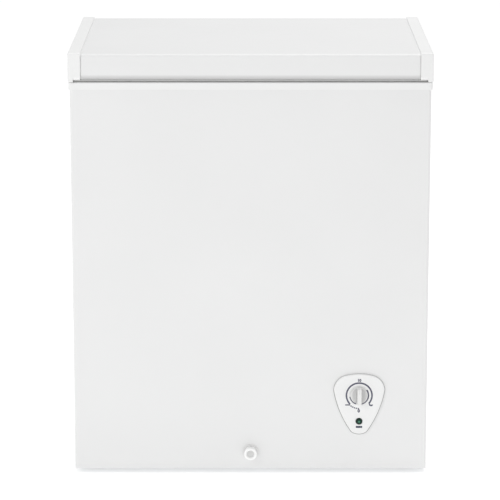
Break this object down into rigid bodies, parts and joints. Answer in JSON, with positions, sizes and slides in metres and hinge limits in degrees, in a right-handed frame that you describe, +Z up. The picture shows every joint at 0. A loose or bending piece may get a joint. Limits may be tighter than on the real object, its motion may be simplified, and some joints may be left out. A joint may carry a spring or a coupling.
{
  "type": "chest freezer",
  "caption": "Small top-opening chest freezer: foamed white cabinet, spring-hinged lid, hanging wire basket, thermostat dial, drain and rear compressor bay.",
  "frame": {"origin": "on the floor, under the middle of the whole object (thermostat knob and hinges included)", "axes": "+X to the right seen from the front, +Y to the back (hinge side), +Z up"},
  "size_m": [0.722, 0.556, 0.864],
  "materials": {
    "white_paint": "satin",
    "white_plastic": "satin",
    "galvanised_sheet": "satin",
    "liner_aluminium": "satin",
    "foam": "matte",
    "coil_aluminium": "satin",
    "tube_steel": "satin",
    "copper": "satin",
    "black_plastic": "matte",
    "black_rubber": "matte",
    "grey_rubber": "matte",
    "gasket_rubber": "matte",
    "zinc_steel": "satin",
    "spring_steel": "satin",
    "black_steel": "gloss",
    "motor_iron": "matte",
    "magnet": "matte",
    "green_lens": "gloss",
    "basket_coating": "gloss"
  },
  "bodies": {
    "cabinet": {"base_tray": "galvanised_sheet", "bracket_screws": "zinc_steel", "capillary_tube": "copper", "compartment_grille": "black_plastic", "compartment_liner": "galvanised_sheet", "compressor_bolts": "zinc_steel", "compressor_deck": "galvanised_sheet", "compressor_grommets": "black_rubber", "compressor_lower_shell": "black_steel", "compressor_motor": "motor_iron", "compressor_plate": "black_steel", "compressor_upper_shell": "black_steel", "condenser_coil": "tube_steel", "condenser_return": "copper", "control_bezel": "white_plastic", "control_box": "black_plastic", "control_wiring": "black_rubber", "cord_inlet": "black_rubber", "discharge_line": "copper", "drain_flange": "white_plastic", "drain_pipe": "white_plastic", "evaporator_coil": "coil_aluminium", "feet": "black_plastic", "filter_drier": "copper", "foot_screws": "zinc_steel", "grille_screws": "zinc_steel", "hinge_pins": "zinc_steel", "hinge_springs": "spring_steel", "indicator_lamp": "black_plastic", "indicator_lens": "green_lens", "inner_liner": "liner_aluminium", "insulation_foam": "foam", "left_hinge_bracket": "zinc_steel", "outer_shell": "white_paint", "rear_panel": "galvanised_sheet", "right_hinge_bracket": "zinc_steel", "rim_frame": "white_plastic", "sensor_tube": "copper", "start_relay": "black_plastic", "suction_line": "copper", "terminal_cover": "black_plastic", "thermostat_body": "zinc_steel"},
    "lid": {"lid_skin": "white_paint", "lid_left_cap": "white_plastic", "lid_right_cap": "white_plastic", "lid_foam": "foam", "lid_liner": "white_plastic", "lid_gasket": "gasket_rubber", "gasket_magnets": "magnet", "leaf_screws": "zinc_steel", "left_hinge_leaf": "zinc_steel", "right_hinge_leaf": "zinc_steel"},
    "left_plunger": {"left_hinge_plunger": "zinc_steel"},
    "right_plunger": {"right_hinge_plunger": "zinc_steel"},
    "thermostat_dial": {"thermostat_knob": "white_plastic", "thermostat_shaft": "zinc_steel"},
    "drain_slider": {"drain_seals": "black_rubber"},
    "drain_knob": {"drain_dial": "white_plastic"},
    "stopper": {"drain_stopper": "grey_rubber"},
    "basket": {"wire_basket": "basket_coating"}
  },
  "joints": [
    {"name": "lid_hinge", "type": "hinge", "parent": "cabinet", "child": "lid", "pos_m": [0, 0.2695, 0.811], "axis": [-1, 0, 0], "range_deg": [0, 80]},
    {"name": "left_plunger_slide", "type": "slide", "parent": "cabinet", "child": "left_plunger", "axis": [0, 0, 1], "range_m": [0, 0.0046], "deforming": ["hinge_springs"]},
    {"name": "right_plunger_slide", "type": "slide", "parent": "cabinet", "child": "right_plunger", "axis": [0, 0, 1], "range_m": [0, 0.0046]},
    {"name": "thermostat_turn", "type": "hinge", "parent": "cabinet", "child": "thermostat_dial", "pos_m": [0.22, -0.27, 0.1655], "axis": [0, -1, 0], "range_deg": [-135, 180]},
    {"name": "drain_pull", "type": "slide", "parent": "cabinet", "child": "drain_slider", "axis": [0, -1, 0], "range_m": [0, 0.022]},
    {"name": "drain_turn", "type": "hinge", "parent": "drain_slider", "child": "drain_knob", "pos_m": [0, -0.266, 0.044], "axis": [0, -1, 0], "range_deg": [0, 180]},
    {"name": "stopper_lift", "type": "slide", "parent": "cabinet", "child": "stopper", "axis": [0, 0, 1], "range_m": [0, 0.06]},
    {"name": "basket_slide", "type": "slide", "parent": "cabinet", "child": "basket", "axis": [1, 0, 0], "range_m": [-0.33, 0]}
  ],
  "couplings": [
    {"joint": "left_plunger_slide", "follows": "lid_hinge", "m_per_rad": 0.0032229},
    {"joint": "right_plunger_slide", "follows": "lid_hinge", "m_per_rad": 0.0032229}
  ]
}
